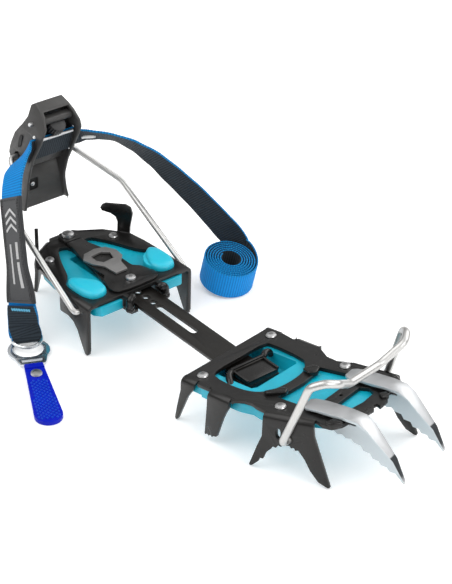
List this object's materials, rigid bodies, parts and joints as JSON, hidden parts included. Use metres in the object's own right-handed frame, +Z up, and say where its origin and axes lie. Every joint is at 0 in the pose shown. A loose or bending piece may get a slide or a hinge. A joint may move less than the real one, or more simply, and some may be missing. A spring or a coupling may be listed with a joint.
{
  "type": "crampon",
  "caption": "Step-in mountaineering crampon with toe wire, heel lever, length bar, snow-shedding plates, forward points and ankle strap.",
  "frame": {"origin": "on the ground under the middle of the metal parts' bounding box; the strap, its coil, ring and tab are left out of that box", "axes": "+X forward along the length, towards the front points; +Z up, with the boot's sole on top; +Y to the left, towards the outside bend of the front plate"},
  "size_m": [0.3614, 0.221, 0.1357],
  "materials": {
    "plate_steel": "satin black coating on pressed steel, worn bright at the tips",
    "bar_steel": "satin black-brown coated steel",
    "antiball": "flexible turquoise plastic",
    "point_steel": "bright satin steel",
    "wire_steel": "polished stainless wire",
    "lock_steel": "matt grey blasted steel",
    "rivet_steel": "satin steel",
    "lever_plastic": "fine-grained charcoal plastic",
    "webbing": "ribbed grey-blue webbing with a brighter blue back and edges",
    "label": "grey woven label with a stitched border",
    "tab_rubber": "blue rubberised tab with a raised diamond pattern",
    "ring_zinc": "bright zinc plated wire"
  },
  "bodies": {
    "front": {"front_frame": "plate_steel", "front_antiball_plate": "antiball", "front_point_right": "point_steel", "front_point_left": "point_steel", "front_rivet_1": "rivet_steel", "front_rivet_2": "rivet_steel", "front_rivet_3": "rivet_steel", "front_rivet_4": "rivet_steel"},
    "toe_wire": {"toe_bail": "wire_steel"},
    "bar": {"link_bar": "bar_steel"},
    "heel": {"heel_frame": "plate_steel", "heel_antiball_plate": "antiball", "heel_rivet_1": "rivet_steel", "heel_rivet_2": "rivet_steel", "rear_bolt": "rivet_steel", "rear_nut": "rivet_steel", "lock_clamp": "plate_steel"},
    "lock": {"lock_leaf": "plate_steel", "lock_tab": "lock_steel", "lock_peg": "rivet_steel"},
    "heel_wire": {"heel_bail": "wire_steel"},
    "carriage": {"adjuster_carriage": "lever_plastic"},
    "lever": {"lever_shell": "lever_plastic", "lever_pin": "rivet_steel", "strap_middle": "webbing", "strap_run": "webbing", "strap_tail": "webbing", "strap_coil": "webbing", "label_patch": "label"},
    "wheel": {"adjuster_wheel": "rivet_steel"},
    "ring": {"strap_ring": "ring_zinc", "tab_loop": "ring_zinc"},
    "tab": {"pull_tab": "tab_rubber", "tab_snap": "rivet_steel"}
  },
  "joints": [
    {"name": "toe_bail_swing", "type": "hinge", "parent": "front", "child": "toe_wire", "pos_m": [0.11729, -0.03523, 0.02633], "axis": [-0.0763, 0.9971, 0], "range_deg": [-46, 12]},
    {"name": "bar_rock", "type": "hinge", "parent": "front", "child": "bar", "pos_m": [0.03652, -0.00789, 0.03103], "axis": [0, 1, 0], "range_deg": [-1, 1]},
    {"name": "length_slide", "type": "slide", "parent": "bar", "child": "heel", "axis": [0.9995, 0, -0.0305], "range_m": [-0.016, 0.024]},
    {"name": "lock_lift", "type": "hinge", "parent": "heel", "child": "lock", "pos_m": [-0.13148, -0.00839, 0.03823], "axis": [0, -1, 0], "range_deg": [0, 6], "stiffness_Nm_per_rad": 0.15, "springref_deg": -2.86},
    {"name": "heel_bail_swing", "type": "hinge", "parent": "heel", "child": "heel_wire", "pos_m": [-0.06748, -0.00839, 0.03003], "axis": [0, 1, 0], "range_deg": [-15, 50]},
    {"name": "lever_swing", "type": "hinge", "parent": "heel_wire", "child": "carriage", "pos_m": [-0.17148, -0.00839, 0.09203], "axis": [0, 1, 0], "range_deg": [-35, 15]},
    {"name": "lever_travel", "type": "slide", "parent": "carriage", "child": "lever", "axis": [0.648, 0, 0.7616], "range_m": [-0.0019, 0.0019]},
    {"name": "wheel_turn", "type": "hinge", "parent": "lever", "child": "wheel", "pos_m": [-0.14854, -0.00839, 0.11899], "axis": [0.648, 0, 0.7616], "range_deg": [-900, 900]},
    {"name": "ring_tilt", "type": "hinge", "parent": "lever", "child": "ring", "pos_m": [-0.09428, -0.07429, 0.00463], "axis": [0.4311, 0.9023, 0], "range_deg": [-4, 4]},
    {"name": "tab_lift", "type": "hinge", "parent": "ring", "child": "tab", "pos_m": [-0.07024, -0.08606, 0.00133], "axis": [-0.4311, -0.9023, 0], "range_deg": [0, 25]}
  ],
  "couplings": [
    {"joint": "wheel_turn", "follows": "lever_travel", "rad_per_m": 7854}
  ]
}
